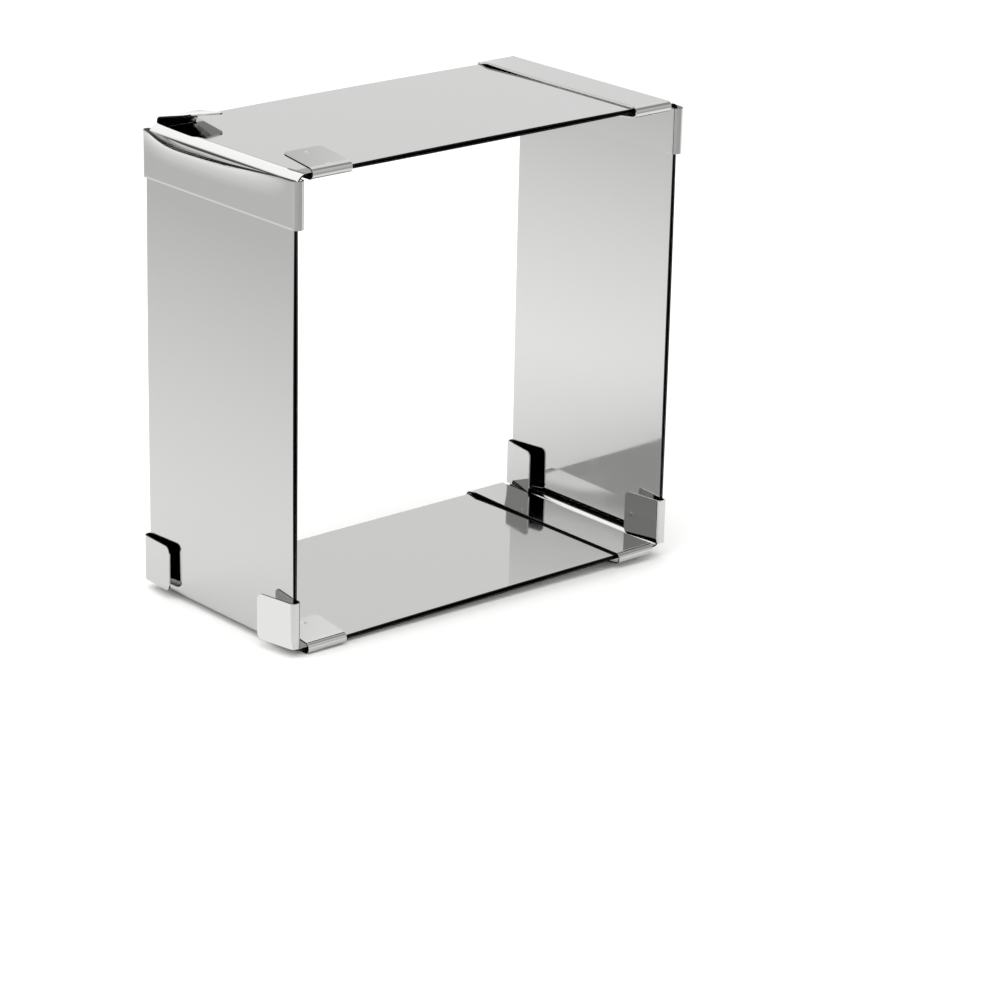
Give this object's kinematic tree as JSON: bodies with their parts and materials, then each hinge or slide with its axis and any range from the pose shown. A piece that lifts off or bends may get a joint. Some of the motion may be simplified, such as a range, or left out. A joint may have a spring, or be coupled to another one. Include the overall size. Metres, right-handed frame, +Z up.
{
  "type": "adjustable cake frame",
  "caption": "Square cake frame of overlapping L-shaped steel panels that slide in end clamps to change its width and height.",
  "frame": {"origin": "under the middle of the closed frame, at the height of its lowest tab edges", "axes": "+Z up and +X right in the plane of the square opening, +Y back through the opening"},
  "size_m": [0.1664, 0.08, 0.1632],
  "materials": {
    "panel_steel": "mirror-polished stainless sheet",
    "clamp_steel": "mirror-polished stainless sheet"
  },
  "bodies": {
    "corner_bottom_left": {"panel_bottom_left": "panel_steel", "clamp_left_top": "clamp_steel", "clamp_bottom_right": "clamp_steel"},
    "corner_top_left": {"panel_top_left": "panel_steel", "clamp_top_right": "clamp_steel", "clamp_left_bottom": "clamp_steel"},
    "corner_top_right": {"panel_top_right": "panel_steel", "clamp_right_bottom": "clamp_steel", "clamp_top_left": "clamp_steel"},
    "corner_bottom_right": {"panel_bottom_right": "panel_steel", "clamp_bottom_left": "clamp_steel", "clamp_right_top": "clamp_steel"}
  },
  "joints": [
    {"name": "height_slide", "type": "slide", "parent": "corner_bottom_left", "child": "corner_top_left", "axis": [0, 0, 1], "range_m": [0, 0.121]},
    {"name": "width_slide_bottom", "type": "slide", "parent": "corner_bottom_left", "child": "corner_bottom_right", "axis": [1, 0, 0], "range_m": [0, 0.118]},
    {"name": "width_slide_top", "type": "slide", "parent": "corner_top_left", "child": "corner_top_right", "axis": [1, 0, 0], "range_m": [0, 0.118]}
  ],
  "couplings": [
    {"joint": "width_slide_top", "follows": "width_slide_bottom", "ratio": 1}
  ]
}
